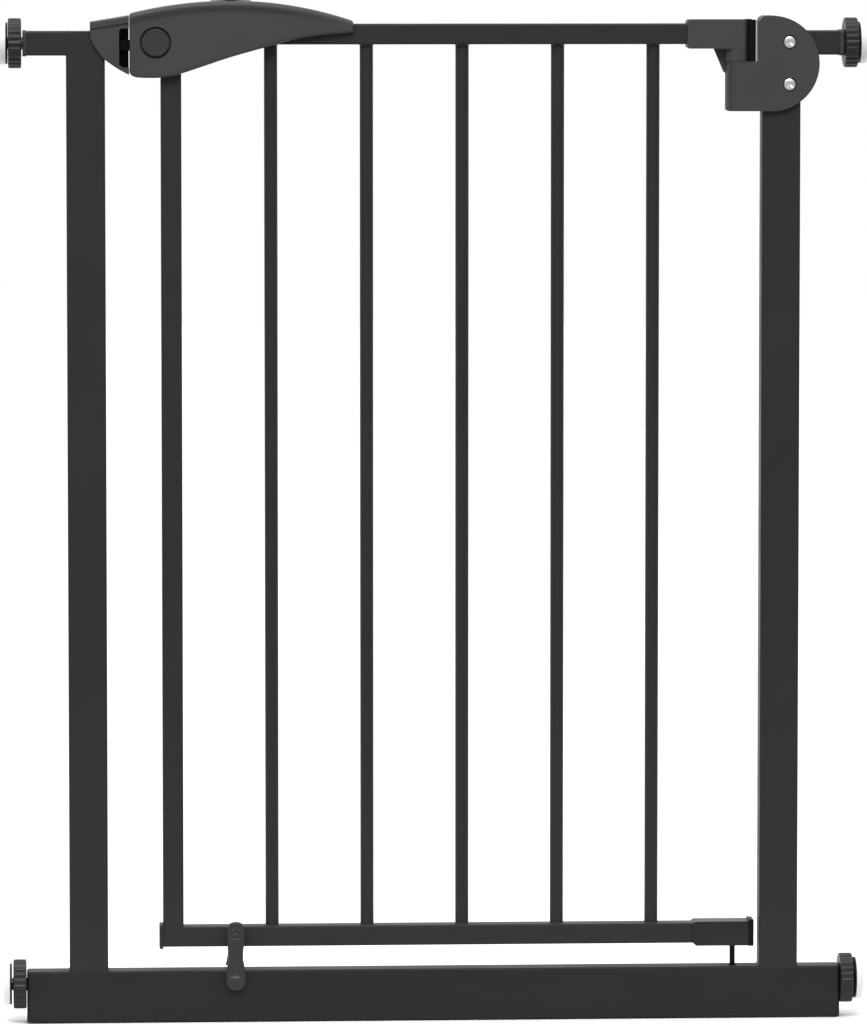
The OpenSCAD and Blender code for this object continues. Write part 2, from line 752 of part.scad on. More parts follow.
bottom_bar();
left_post();
right_post();
left_top_stub();
right_top_stub();
top_stub_plugs();
bottom_bar_plugs();
catch_housing();
catch_liner();
catch_screw();
hinge_housing_front();
hinge_housing_rear();
hinge_screws();
torsion_spring();
bottom_pivot_bush();
pivot_sleeve();
top_rail();
bottom_rail();
latch_stile();
rung(1);  // rung_1
rung(2);  // rung_2
rung(3);  // rung_3
rung(4);  // rung_4
rung(5);  // rung_5
handle_front_shell();
handle_rear_shell();
handle_screws();
bolt_spring();
button_spring();
hinge_bracket();
bracket_end_plug();
hinge_shaft();
bottom_bracket();
bottom_pivot_pin();
rail_end_caps();
latch_bolt();
latch_link();
thumb_slider();
front_button();
rear_button();
stopper_front_leg();
stopper_rear_leg();
stopper_pin();
wheel_top_left();
wheel_top_right();
wheel_bottom_left();
wheel_bottom_right();
spindle_top_left();
spindle_top_right();
spindle_bottom_left();
spindle_bottom_right();
pad_cup_top_left();
pad_cup_top_right();
pad_cup_bottom_left();
pad_cup_bottom_right();
rubber_pad_top_left();
rubber_pad_top_right();
rubber_pad_bottom_left();
rubber_pad_bottom_right();
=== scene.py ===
"""Looks of the safety gate: painted tubes, moulded parts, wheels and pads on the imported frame."""

import math

import bmesh
import bpy
from mathutils import Matrix, Vector


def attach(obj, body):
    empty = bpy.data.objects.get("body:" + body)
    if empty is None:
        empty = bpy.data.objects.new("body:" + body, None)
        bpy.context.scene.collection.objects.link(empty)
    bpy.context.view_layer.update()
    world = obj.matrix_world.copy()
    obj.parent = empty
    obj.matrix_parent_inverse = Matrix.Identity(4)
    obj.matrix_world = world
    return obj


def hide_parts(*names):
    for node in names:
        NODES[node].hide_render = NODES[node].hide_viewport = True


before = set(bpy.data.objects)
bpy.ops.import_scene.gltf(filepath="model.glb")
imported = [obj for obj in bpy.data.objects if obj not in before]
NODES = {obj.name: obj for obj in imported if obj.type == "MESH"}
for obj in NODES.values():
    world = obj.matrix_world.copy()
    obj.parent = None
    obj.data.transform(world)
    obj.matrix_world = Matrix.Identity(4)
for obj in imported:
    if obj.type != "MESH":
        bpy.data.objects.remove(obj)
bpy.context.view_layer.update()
MM = 0.001


# ---------------------------------------------------------------- materials

GRAIN_SHARE, CLOUD_SHARE = 0.45, 0.55      # of the colour's change: fine grain, broad patches
NOISE_LOW, NOISE_HIGH = 0.3, 0.7           # the span of the noise that the two tones share out
GRAIN_DETAIL, CLOUD_DETAIL, CLOUD_SCALE = 3.0, 2.0, 14.0
ROUGH_SPREAD = 0.06


def add_node(tree, kind, values=None, **settings):
    """A new shader node, with values for its inputs and settings for the node itself."""
    node = tree.nodes.new("ShaderNode" + kind)
    for name, value in settings.items():
        setattr(node, name, value)
    for name, value in (values or {}).items():
        node.inputs[name].default_value = value
    return node


def map_range(tree, source, span, to, **settings):
    """Maps source from span to the two values in to."""
    node = add_node(tree, "MapRange", {"From Min": span[0], "From Max": span[1],
                                       "To Min": to[0], "To Max": to[1]}, **settings)
    tree.links.new(source, node.inputs["Value"])
    return node.outputs["Result"]


def material(name, dark, light, rough, scale, relief, depth, metal=0.0, level=0.5, streak=None):
    """A surface with fine grain: colour, roughness and relief all vary a little over it.

    dark and light are its tones, scale is the grain's, relief and depth are the strength and the
    height of the grain in metres, level is the specular level, and streak stretches the grain."""
    made = bpy.data.materials.new(name)
    made.use_nodes = True
    tree = made.node_tree
    link = tree.links.new
    shader = tree.nodes["Principled BSDF"]
    place = add_node(tree, "TexCoord").outputs["Object"]
    grain = add_node(tree, "TexNoise", {"Scale": scale, "Detail": GRAIN_DETAIL})
    cloud = add_node(tree, "TexNoise", {"Scale": CLOUD_SCALE, "Detail": CLOUD_DETAIL})
    link(place, cloud.inputs["Vector"])
    if streak:
        stretch = add_node(tree, "Mapping", {"Scale": streak})
        link(place, stretch.inputs["Vector"])
        place = stretch.outputs["Vector"]
    link(place, grain.inputs["Vector"])
    broad = add_node(tree, "Math", {1: CLOUD_SHARE}, operation="MULTIPLY")
    link(cloud.outputs["Fac"], broad.inputs[0])
    both = add_node(tree, "Math", {1: GRAIN_SHARE}, operation="MULTIPLY_ADD")
    link(grain.outputs["Fac"], both.inputs[0])
    link(broad.outputs["Value"], both.inputs[2])
    ramp = add_node(tree, "ValToRGB")
    for stop, at, tone in zip(ramp.color_ramp.elements, (NOISE_LOW, NOISE_HIGH), (dark, light)):
        stop.position = at
        stop.color = (*tone, 1)
    link(both.outputs["Value"], ramp.inputs["Fac"])
    link(ramp.outputs["Color"], shader.inputs["Base Color"])
    roughness = map_range(tree, cloud.outputs["Fac"], (NOISE_LOW, NOISE_HIGH),
                          (rough - ROUGH_SPREAD, rough + ROUGH_SPREAD))
    link(roughness, shader.inputs["Roughness"])
    bumps = add_node(tree, "Bump", {"Strength": relief, "Distance": depth})
    link(grain.outputs["Fac"], bumps.inputs["Height"])
    link(bumps.outputs["Normal"], shader.inputs["Normal"])
    shader.inputs["Metallic"].default_value = metal
    shader.inputs["Specular IOR Level"].default_value = level
    return made


def plain(name, dark, light, rough, scale, relief, depth, level):
    """A grey material of two close tones."""
    return material(name, (dark,) * 3, (light,) * 3, rough, scale, relief, depth, level=level)


# name, dark and light tone, roughness, grain's scale, its relief and depth, specular level
PAINT = plain("satin_paint", 0.0240, 0.0272, 0.46, 700, 0.25, 0.00008, 0.14)
# A darker copy of the frame's satin paint for the bottom bar: painted shade, not a different paint.
PAINT_SHADED_BAR = plain("satin_paint_painted_shade", 0.0182, 0.0208, 0.46, 700, 0.25, 0.00008, 0.12)
GREY = plain("grey_moulding", 0.0450, 0.0512, 0.48, 1600, 0.35, 0.00006, 0.22)
# A darker copy of the grey moulding for the buttons: painted shade, the same plastic as the handle.
CAP_PAINTED_SHADE = plain("button_moulding_painted_shade", 0.0330, 0.0378, 0.48, 1600, 0.35, 0.00006, 0.2)
DARK = plain("dark_moulding", 0.0028, 0.0040, 0.42, 1500, 0.3, 0.00005, 0.13)
WHEEL = plain("wheel_moulding", 0.0150, 0.0180, 0.38, 1500, 0.3, 0.00005, 0.24)
# A lighter copy of the wheels' dark grey plastic for the stopper: painted light, the same plastic.
CLIP_PAINTED_LIGHT = plain("stopper_moulding_painted_light", 0.0232, 0.0272, 0.40, 1500, 0.3, 0.00005, 0.3)
BRIGHT = material("bright_steel", (0.74, 0.74, 0.73), (0.84, 0.84, 0.83), 0.36, 260, 0.08, 0.00004,
                  metal=1.0, streak=(1, 1, 6))
ZINC = material("zinc_steel", (0.56, 0.57, 0.58), (0.68, 0.69, 0.70), 0.32, 420, 0.15, 0.00005,
                metal=1.0)
SPRING = material("spring_steel", (0.40, 0.40, 0.41), (0.52, 0.52, 0.53), 0.30, 800, 0.1, 0.00003,
                  metal=1.0)
RUBBER = material("pale_rubber", (0.70, 0.70, 0.69), (0.76, 0.76, 0.75), 0.55, 1100, 0.3, 0.00006,
                  level=0.35)
LOOK = {"frame_paint": PAINT, "housing_plastic": GREY, "plug_plastic": DARK,
        "dark_grey_plastic": WHEEL, "black_steel": DARK, "bright_steel": BRIGHT,
        "spring_steel": SPRING, "zinc_steel": ZINC, "pad_rubber": RUBBER}


# ---------------------------------------------------------------- mesh helpers (millimetres in)

FLAT = 0.6        # faces that meet at less than this many degrees lie in one plane
SHARP = 32        # and edges over this many stay sharp
SIDES = ((-1, "left"), (1, "right"))


def solid(name, points, faces):
    mesh = bpy.data.meshes.new(name)
    mesh.from_pydata([Vector(p) * MM for p in points], [], faces)
    obj = bpy.data.objects.new(name, mesh)
    bpy.context.scene.collection.objects.link(obj)
    bm = bmesh.new()
    bm.from_mesh(mesh)
    bmesh.ops.remove_doubles(bm, verts=bm.verts, dist=1e-7)
    bmesh.ops.recalc_face_normals(bm, faces=bm.faces)
    bm.to_mesh(mesh)
    bm.free()
    return obj


def loft(name, rings, wrap=False):
    """Joins rings of equal length. wrap joins the last to the first; if not, flat faces end it."""
    n = len(rings[0])
    points = [p for r in rings for p in r]
    faces = []
    for i in range(len(rings) if wrap else len(rings) - 1):
        a, b = i * n, (i + 1) % len(rings) * n
        for k in range(n):
            m = (k + 1) % n
            faces.append((a + k, b + k, b + m, a + m))
    if not wrap:
        faces.append(tuple(range(n)))
        faces.append(tuple(range(len(points) - n, len(points))))
    return solid(name, points, faces)


def rounded(w, h, r, steps=4):
    """Corners of a w by h rectangle about the origin, each rounded by r."""
    out = []
    for cx, cy, a0 in ((1, 1, 0), (-1, 1, 90), (-1, -1, 180), (1, -1, 270)):
        for k in range(steps + 1):
            a = math.radians(a0 + 90 * k / steps)
            out.append((cx * (w / 2 - r) + r * math.cos(a), cy * (h / 2 - r) + r * math.sin(a)))
    return out


def box_tube(name, axis, ends, centre, size, r, wall, lip=0.35):
    """A hollow rounded tube along axis, with its end edges broken by lip."""
    def ring(at, grow):
        inner = max(r + grow, 0.3)
        out = []
        for u, v in rounded(size[0] + 2 * grow, size[1] + 2 * grow, inner):
            if axis == "x":
                out.append((at, centre[0] + u, centre[1] + v))
            else:
                out.append((centre[0] + u, centre[1] + v, at))
        return out
    a, b = ends
    rings = [ring(a, -lip), ring(a + lip * 0.3, -lip * 0.3), ring(a + lip, 0),
             ring(b - lip, 0), ring(b - lip * 0.3, -lip * 0.3), ring(b, -lip),
             ring(b, -wall), ring(a, -wall)]
    return loft(name, rings, wrap=True)


def turned(name, profile, axis, origin, sides=64, ribs=None, hollow=False):
    """Turns (distance along axis, radius) about axis, which is +-x, +-y or z.

    hollow joins the last ring to the first; without it both ends are closed by flat faces. ribs
    gives the radius its change with the angle."""
    sign = -1 if axis[0] == "-" else 1
    rings = []
    for along, radius in profile:
        ring = []
        for k in range(sides):
            a = 2 * math.pi * (k + 0.5) / sides
            r = radius if ribs is None else ribs(along, radius, a)
            u, v = r * math.cos(a), r * math.sin(a)
            p = {"x": (sign * along, u, v), "y": (u, sign * along, v), "z": (u, v, along)}[axis[-1]]
            ring.append(tuple(origin[i] + p[i] for i in range(3)))
        rings.append(ring)
    return loft(name, rings, wrap=hollow)


def slab(name, outline, y0, y1):
    """An outline in the X-Z plane with thickness from y0 to y1."""
    rings = [[(x, y, z) for x, z in outline] for y in (y0, y1)]
    return loft(name, rings)


def plan_slab(name, outline, z0, z1):
    """An outline in the X-Y plane with thickness from z0 to z1."""
    rings = [[(x, y, z) for x, y in outline] for z in (z0, z1)]
    return loft(name, rings)


def brick(name, lo, hi):
    """A box between two corners."""
    outline = [(lo[0], lo[2]), (hi[0], lo[2]), (hi[0], hi[2]), (lo[0], hi[2])]
    return slab(name, outline, lo[1], hi[1])


def round_bar(name, axis, a, b, origin, r, sides=48):
    return turned(name, [(a, r), (b, r)], axis, origin, sides)


def arc(cx, cz, r, a0, a1, steps):
    """Points on a circle from a0 to a1 degrees."""
    return [(cx + r * math.cos(math.radians(a0 + (a1 - a0) * k / steps)),
             cz + r * math.sin(math.radians(a0 + (a1 - a0) * k / steps))) for k in range(steps + 1)]


def combine(target, others, operation):
    """Applies a boolean of target with each of others, and removes those."""
    for other in others:
        step = target.modifiers.new("cut", "BOOLEAN")
        step.operation = operation
        step.solver = "EXACT"
        step.object = other
    settle(target)
    for other in others:
        bpy.data.objects.remove(other)
    return target


def cut(target, *others):
    return combine(target, others, "DIFFERENCE")


def unite(target, *others):
    return combine(target, others, "UNION")


def settle(obj):
    """Applies the modifiers of obj to its mesh."""
    bpy.context.view_layer.update()
    graph = bpy.context.evaluated_depsgraph_get()
    done = bpy.data.meshes.new_from_object(obj.evaluated_get(graph))
    obj.modifiers.clear()
    old = obj.data
    obj.data = done
    bpy.data.meshes.remove(old)
    return obj


def mirror_x(obj):
    obj.data.transform(Matrix.Scale(-1, 4, (1, 0, 0)))
    obj.data.flip_normals()
    return obj


def close(obj):
    """Merges the slivers a cut can leave and fills the pinholes between them."""
    bm = bmesh.new()
    bm.from_mesh(obj.data)
    bmesh.ops.remove_doubles(bm, verts=bm.verts, dist=8e-6)
    bmesh.ops.dissolve_degenerate(bm, edges=bm.edges, dist=4e-6)
    bmesh.ops.holes_fill(bm, edges=[e for e in bm.edges if e.is_boundary])
    bmesh.ops.recalc_face_normals(bm, faces=bm.faces)
    bm.to_mesh(obj.data)
    bm.free()
    return obj


def dissolve(obj):
    """Merges faces that lie in one plane, so that a bevel meets only real edges."""
    bm = bmesh.new()
    bm.from_mesh(obj.data)
    bmesh.ops.remove_doubles(bm, verts=bm.verts, dist=2e-6)
    bmesh.ops.dissolve_limit(bm, angle_limit=math.radians(FLAT), verts=bm.verts, edges=bm.edges)
    bm.to_mesh(obj.data)
    bm.free()
    return obj


def soften(obj, width, degrees=35):
    """Rounds every edge sharper than degrees by width."""
    dissolve(obj)
    step = obj.modifiers.new("edges", "BEVEL")
    step.width = width * MM
    step.segments = 3
    step.limit_method = "ANGLE"
    step.angle_limit = math.radians(degrees)
    step.use_clamp_overlap = True
    step.miter_outer = "MITER_ARC"
    return settle(obj)


def shade(obj):
    """Smooth shading, with flat faces kept flat."""
    for face in obj.data.polygons:
        face.use_smooth = True
    obj.data.set_sharp_from_angle(angle=math.radians(SHARP))
    step = obj.modifiers.new("normals", "WEIGHTED_NORMAL")
    step.keep_sharp = True
    step.weight = 100
    return settle(obj)


def piece(obj, body, slot, *nodes, look=None):
    """obj is finished: it rides on body, takes slot's material and stands for the CAD nodes.

    look is a material to wear in place of the slot's."""
    shade(obj)
    obj.data.materials.clear()
    obj.data.materials.append(look or LOOK[slot])
    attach(obj, body)
    if nodes:
        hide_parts(*nodes)


# ---------------------------------------------------------------- sizes
# In millimetres: _D is a depth, _H a height, _R a radius; the rest are places on X or Z.

FRAME_D, BAR_H, FRAME_H, STUB_H = 20.0, 39.0, 745.7, 18.2
POST_IN, POST_OUT, STUB_END, BAR_END = 246.0, 275.0, 304.6, 306.3
TUBE, DOOR_TOP, DOOR_LOW = 15.4, 750.9, 56.7
RAIL_TOP_LOW, RAIL_LOW_TOP = DOOR_TOP - TUBE, DOOR_LOW + TUBE
DOOR_LEFT, HINGE_X = -204.5, 226.5
STUB_Z, LOW_AXIS = FRAME_H - STUB_H / 2, 28.5
RAIL_Z, STILE_X = DOOR_LOW + TUBE / 2, DOOR_LEFT + TUBE / 2
WHEEL_IN = {"top": 308.2, "bottom": 307.5}
WHEEL_T, WHEEL_R = 10.0, 18.7
CORNER, WALL = 1.5, 1.2                    # of the door's tubes
FRAME_CORNER, FRAME_WALL, HALF_D = 1.8, 1.5, FRAME_D / 2
BEAD = 8.2                                 # half the length of a weld on the frame


def fillet(name, x, z, sx, sz, reach, half):
    """A bead of weld in the corner at x, z that opens towards sx, sz."""
    shape = [(-0.3, -0.3), (reach, -0.3), (reach, 0.02), (0.45 * reach, 0.18 * reach),
             (0.18 * reach, 0.45 * reach), (0.02, reach), (-0.3, reach)]
    return slab(name, [(x + sx * u, z + sz * v) for u, v in shape], -half, half)


# ---------------------------------------------------------------- frame

bar = box_tube("bottom_bar_tube", "x", (-BAR_END, BAR_END), (0, BAR_H / 2), (FRAME_D, BAR_H),
               FRAME_CORNER, FRAME_WALL)
bore = round_bar("bore", "z", 30, 50, (HINGE_X, 0, 0), 2.8)
# The bottom bar wears the darker copy of the satin paint as painted shade.
piece(cut(bar, bore), "frame", "frame_paint", "bottom_bar", look=PAINT_SHADED_BAR)

for side, word in SIDES:
    cx = side * (POST_IN + POST_OUT) / 2
    rings = []                             # up the inside, then down over the closed top
    for z, grow in ((FRAME_H - FRAME_WALL, -FRAME_WALL), (BAR_H, -FRAME_WALL), (BAR_H, 0),
                    (FRAME_H - 1.2, 0), (FRAME_H - 0.35, -0.35), (FRAME_H, -1.2)):
        rings.append([(cx + u, v, z) for u, v in
                      rounded(POST_OUT - POST_IN + 2 * grow, FRAME_D + 2 * grow,
                              FRAME_CORNER + grow * 0.5)])
    post = loft(word + "_post_tube", rings)
    piece(post, "frame", "frame_paint", word + "_post")
    foot = box_tube(word + "_post_foot", "z", (BAR_H - 1.7, BAR_H + 0.1), (cx, 0),
                    (POST_OUT - POST_IN, FRAME_D), FRAME_CORNER, FRAME_WALL, 0.01)
    piece(foot, "frame", "frame_paint")
    ends = (POST_OUT - 1.9, STUB_END) if side > 0 else (-STUB_END, -POST_OUT + 1.9)
    stub = box_tube(word + "_top_stub_tube", "x", ends, (0, STUB_Z), (FRAME_D, STUB_H), 1.6,
                    FRAME_WALL, 0.02)
    piece(stub, "frame", "frame_paint", word + "_top_stub")
    for k, (x, s) in enumerate(((POST_OUT, 1), (POST_IN, -1))):
        bead = fillet(f"{word}_post_weld_{k + 1}", side * x, BAR_H, side * s, 1, 0.9, BEAD)
        piece(bead, "frame", "frame_paint")
    bead = fillet(word + "_stub_weld", side * POST_OUT, FRAME_H - STUB_H, side, -1, 0.9, BEAD)
    piece(bead, "frame", "frame_paint")


def guide(name, side, x_end, z_mid, height, z_axis, collar, extra):
    """The moulded guide in a tube's end, with a bore for the spindle.

    It stands collar out of the tube and is extra wider than it all round."""
    rings = []
    for x, grow in ((x_end - 12, -1.6), (x_end, -1.6), (x_end, extra - 0.4), (x_end + 0.4, extra),
                    (x_end + collar - 0.4, extra), (x_end + collar, extra - 0.4)):
        corner = max(FRAME_CORNER + grow, 0.3)
        rings.append([(side * x, u, z_mid + v) for u, v in
                      rounded(FRAME_D + 2 * grow, height + 2 * grow, corner, 5)])
    plug = loft(name, rings)
    hole = round_bar("hole", "x", x_end - 20, x_end + 10, (0, 0, z_axis), 5.05)
    return cut(plug, hole if side > 0 else mirror_x(hole))


for side, word in SIDES:
    top = guide("top_guide_" + word, side, STUB_END, STUB_Z, STUB_H, STUB_Z, 2.8, 0.6)
    piece(top, "frame", "housing_plastic", "top_stub_plugs")
    low = guide("bottom_guide_" + word, side, BAR_END, BAR_H / 2, BAR_H, LOW_AXIS, 0.9, -0.6)
    piece(low, "frame", "plug_plastic", "bottom_bar_plugs")

# ---------------------------------------------------------------- catch

CATCH_LEFT, CATCH_RIGHT, CATCH_Y, CATCH_FACE = -257, -228.05, 14.0, 12.7
CATCH_LOW_TOP, CATCH_HIGH_TOP, LIP_H = 752.5, 757.2, 5.6
SLOT_LEFT, SLOT_LOW, SLOT_TOP = CATCH_RIGHT - 7.4, 718.6, 747.7
SLOT_RIM, POCKET_RIM = 2.8, 1.2            # left between the slot and the curved underside
ARC_AT, ARC_R = (-188.9, 795.3), 91.0


def catch_edge(x):
    """Height of the catch's upper edge."""
    return (CATCH_LOW_TOP + (CATCH_HIGH_TOP - CATCH_LOW_TOP) * (x - CATCH_LEFT)
            / (CATCH_RIGHT - CATCH_LEFT))


def inset(outline, m):
    """The outline drawn in by m, for outlines that turn anticlockwise."""
    out = []
    n = len(outline)
    for i in range(n):
        a, b, c = (Vector(outline[k % n]) for k in (i - 1, i, i + 1))
        u, v = (b - a).normalized(), (c - b).normalized()
        way = Vector((-u.y - v.y, u.x + v.x))
        way.normalize()
        reach = m / max(way.dot(Vector((-u.y, u.x))), 0.4)
        out.append((b.x + way.x * reach, b.y + way.y * reach))
    return out


def rolled_slab(name, outline, y0, y1, r, steps=5):
    """A slab whose edges round the faces at y0 and y1 have radius r."""
    rings = []
    for k in range(steps + 1):
        a = math.radians(90 * k / steps)
        rings.append((y0 + r * (1 - math.sin(a)), r * (1 - math.cos(a))))
    rings = [(y, m) for y, m in reversed(rings)]
    rings += [(y0 + y1 - y, m) for y, m in reversed(rings)]
    return loft(name, [[(x, y, z) for x, z in inset(outline, m)] for y, m in rings])


a0 = 180 + math.degrees(math.acos((ARC_AT[0] + 248.5) / ARC_R))
a1 = 180 + math.degrees(math.acos((ARC_AT[0] + 223) / ARC_R))
outline = ([(CATCH_LEFT, 745), (-256.7, 740.5), (-255.2, 735.9), (-251.9, 731.2)]
           + arc(*ARC_AT, ARC_R, a0, a1, 24)
           + [(-216, 708.5), (-216, catch_edge(-216)), (CATCH_LEFT, catch_edge(CATCH_LEFT))])
catch = rolled_slab("catch_body", outline, -CATCH_FACE, CATCH_Y, 1.3)
left_top, right_top = catch_edge(CATCH_LEFT), catch_edge(-222)
lip = rolled_slab("lip", [(-257.04, left_top - LIP_H), (-222, right_top - LIP_H),
                          (-222, right_top + 0.04), (-257.04, left_top + 0.04)],
                  -CATCH_Y, CATCH_Y - 0.3, 1.3)


def slot_area(m, rim, x1):
    """Outline of the slot grown by m, kept rim away from the curved underside, up to x1."""
    x0, z0, z1, r = SLOT_LEFT - m, SLOT_LOW - m, SLOT_TOP + m, ARC_R - rim

    def under(x):
        return max(z0, ARC_AT[1] - math.sqrt(r * r - (x - ARC_AT[0]) ** 2))
    low = [(x0 + (x1 - x0) * k / 12, under(x0 + (x1 - x0) * k / 12)) for k in range(13)]
    return low + [(x1, z1), (x0 + 2.2, z1), (x0 + 0.65, z1 - 0.65), (x0, z1 - 2.2)]


catch = unite(catch, lip)
catch = cut(catch, brick("beyond", (CATCH_RIGHT, -20, 700), (-205, 20, 780)))
catch = cut(catch, brick("seat", (-POST_OUT - 5, -HALF_D, 690), (-POST_IN, HALF_D, FRAME_H)))
catch = cut(catch, slab("slot", slot_area(0, SLOT_RIM, -226), -CATCH_Y - 1, 0))
catch = cut(catch, slab("pocket", slot_area(2, POCKET_RIM, -226), -CATCH_Y + 2, 10))
soften(catch, 0.25, 50)
piece(catch, "frame", "housing_plastic", "catch_housing")

liner = slab("catch_lining", slot_area(2, POCKET_RIM, CATCH_RIGHT), -CATCH_Y + 2, 10)
liner = cut(liner, slab("mouth", slot_area(0, SLOT_RIM, -226), -13, 8))
soften(liner, 0.25)
piece(liner, "frame", "plug_plastic", "catch_liner")


FLUTE_FACES = [(0, 1, 2, 3), (4, 7, 6, 5), (0, 4, 5, 1), (1, 5, 6, 2), (2, 6, 7, 3), (3, 7, 4, 0)]


def pan_head(name, x, z, y, out, r, h):
    """A pan-head screw's head with a cross recess. y is its crown and out the way it looks.

    r is the head's radius and h its height."""
    profile = [(0, 0.02), (0, r * 0.35), (0.08, r * 0.62), (0.28, r * 0.84), (0.6, r * 0.97),
               (0.9, r), (h, r), (h, r * 0.45), (h + 4, r * 0.45), (h + 4, 0.02)]
    head = turned(name, [(-a, b) for a, b in profile], "y" if out > 0 else "-y", (x, y, z), 48)
    flutes = []
    w, d = r * 0.16, r * 0.34
    for turn in (45, 135):
        pts = [(-r * 0.92, -w, 0.3), (r * 0.92, -w, 0.3), (r * 0.92, w, 0.3), (-r * 0.92, w, 0.3),
               (-r * 0.18, -w * 0.6, -d), (r * 0.18, -w * 0.6, -d), (r * 0.18, w * 0.6, -d),
               (-r * 0.18, w * 0.6, -d)]
        c, s = math.cos(math.radians(turn)), math.sin(math.radians(turn))
        placed = [(x + u * c - v * s, y + out * t, z + u * s + v * c) for u, v, t in pts]
        flutes.append(solid("flute", placed, FLUTE_FACES))
    return cut(head, *flutes)


piece(pan_head("catch_screw_head", -251.5, 742, CATCH_Y - 0.1, 1, 3.2, 1.5), "frame",
      "bright_steel", "catch_screw")

# ---------------------------------------------------------------- hinge housing

LOW_Z, SEAT_Z, HOUSING_TOP, HOUSING_R, HOUSING_Y = 685.4, 722.2, 756.8, 35.7, 13.0
H_LEFT, H_STEP, ARC_X = HINGE_X - 7.6, POST_IN - 2.3, 253.1
ARC_Z = HOUSING_TOP - HOUSING_R
NOSE_X, NOSE_R, BEYOND = 231, 12.1, 291    # its rounded left end, seen from above
SCREWS = ((266.4, 737.0), (266.4, 705.4))

outline = ([(H_LEFT, LOW_Z + 2.2), (H_LEFT + 0.6, LOW_Z + 0.7), (H_LEFT + 2.2, LOW_Z)]
           + arc(ARC_X, ARC_Z, HOUSING_R, -90, 90, 48)
           + arc(H_STEP + 5, HOUSING_TOP - 5, 5, 90, 180, 8)
           + [(H_STEP, SEAT_Z), (H_LEFT, SEAT_Z)])
plan = ([(NOSE_X + NOSE_R * math.cos(math.radians(a)), HOUSING_Y * math.sin(math.radians(a)))
         for a in range(90, 271, 5)] + [(BEYOND, -HOUSING_Y), (BEYOND, HOUSING_Y)])

for word, s in (("front", -1), ("rear", 1)):
    shell = slab("hinge_housing_" + word + "_shell", outline, min(0, 15 * s), max(0, 15 * s))
    shell = combine(shell, [plan_slab("plan", plan, LOW_Z - 1, HOUSING_TOP + 1)], "INTERSECT")
    cuts = [brick("post_room", (POST_IN, -HALF_D, 680), (POST_OUT, HALF_D, FRAME_H)),
            brick("stub_room", (POST_OUT - 1, -HALF_D, FRAME_H - STUB_H), (300, HALF_D, FRAME_H)),
            round_bar("shaft_room", "z", LOW_Z + 3, SEAT_Z + 4, (HINGE_X, 0, 0), 5.6)]
    if s < 0:
        cuts.append(round_bar("edge_line", "z", LOW_Z + 0.9, SEAT_Z - 0.9, (222.2, -8.9, 0),
                              0.85, 24))
        for x, z in SCREWS:
            cuts.append(round_bar("seat", "-y", HOUSING_Y - 1.6, HOUSING_Y + 2, (x, 0, z), 5.3, 64))
    shell = cut(shell, *cuts)
    soften(shell, 0.55)
    piece(shell, "frame", "housing_plastic", "hinge_housing_" + word)

fin = slab("hinge_fin", [(214.4, SEAT_Z), (217.4, 715), (H_LEFT + 1, 713), (H_LEFT + 1, SEAT_Z)],
           -1.5, 1.5)
soften(fin, 0.3)
piece(fin, "frame", "housing_plastic")

for k, (x, z) in enumerate(SCREWS):
    screw = pan_head(f"hinge_screw_{k + 1}", x, z, -HOUSING_Y + 0.05, -1, 4.4, 1.5)
    piece(screw, "frame", "bright_steel", "hinge_screws")

bush = turned("pivot_bush", [(22, 2.05), (22, 2.75), (38.9, 2.75), (38.9, 3.2), (39.4, 3.2),
                             (39.6, 3.0), (39.6, 2.05)], "z", (HINGE_X, 0, 0), 48, hollow=True)
piece(bush, "frame", "plug_plastic", "bottom_pivot_bush")

# ---------------------------------------------------------------- door tubes

SQUARE = (TUBE, TUBE)
RAIL_END, LOW_RAIL_END = HINGE_X - 9, HINGE_X + 11.5
FIRST_RUNG, RUNG_STEP = STILE_X + 74.6, 71.7

rail = box_tube("top_rail_tube", "x", (DOOR_LEFT, RAIL_END), (0, DOOR_TOP - TUBE / 2), SQUARE,
                CORNER, WALL)
piece(rail, "door", "frame_paint", "top_rail")
low_rail = box_tube("bottom_rail_tube", "x", (DOOR_LEFT, LOW_RAIL_END), (0, RAIL_Z), SQUARE,
                    CORNER, WALL)
piece(low_rail, "door", "frame_paint", "bottom_rail")
stile = box_tube("latch_stile_tube", "z", (RAIL_LOW_TOP, RAIL_TOP_LOW), (STILE_X, 0), SQUARE,
                 CORNER, WALL, 0.05)
piece(stile, "door", "frame_paint", "latch_stile")
foot = box_tube("stile_foot", "z", (RAIL_LOW_TOP - 1.5, RAIL_LOW_TOP + 0.1), (STILE_X, 0),
                SQUARE, CORNER, WALL, 0.01)
piece(foot, "door", "frame_paint")
piece(fillet("stile_weld", DOOR_LEFT + TUBE, RAIL_LOW_TOP, 1, 1, 0.7, 6.0), "door", "frame_paint")
lo, hi = RAIL_LOW_TOP, RAIL_TOP_LOW
flare = [(0.0, 5.95), (0.15, 5.5), (0.5, 5.15), (1.1, 5.0)]     # the weld round a rung's end
for k in range(5):
    x = FIRST_RUNG + RUNG_STEP * k
    profile = ([(lo - 0.3, 4.0), (lo - 0.3, 5.95)] + [(lo + a, r) for a, r in flare]
               + [(hi - a, r) for a, r in reversed(flare)] + [(hi + 0.3, 5.95), (hi + 0.3, 4.0)])
    piece(turned(f"rung_tube_{k + 1}", profile, "z", (x, 0, 0), 64, hollow=True), "door",
          "frame_paint", f"rung_{k + 1}")


def end_cap(name, side, x, half, flange):
    """A cap on the lower rail's end at x, half its height high, that stands flange out."""
    rings = []
    for d, g in ((-5, -3.0), (-0.05, -3.0), (-0.05, -0.1), (0.1, 0), (flange - 0.7, 0),
                 (flange - 0.2, -0.3), (flange, -0.9)):
        rings.append([(x + side * d, u, RAIL_Z + v) for u, v in
                      rounded(2 * half - 1.6 + 2 * g, 2 * half + 2 * g, max(1.4 + g, 0.3), 4)])
    return loft(name, rings)


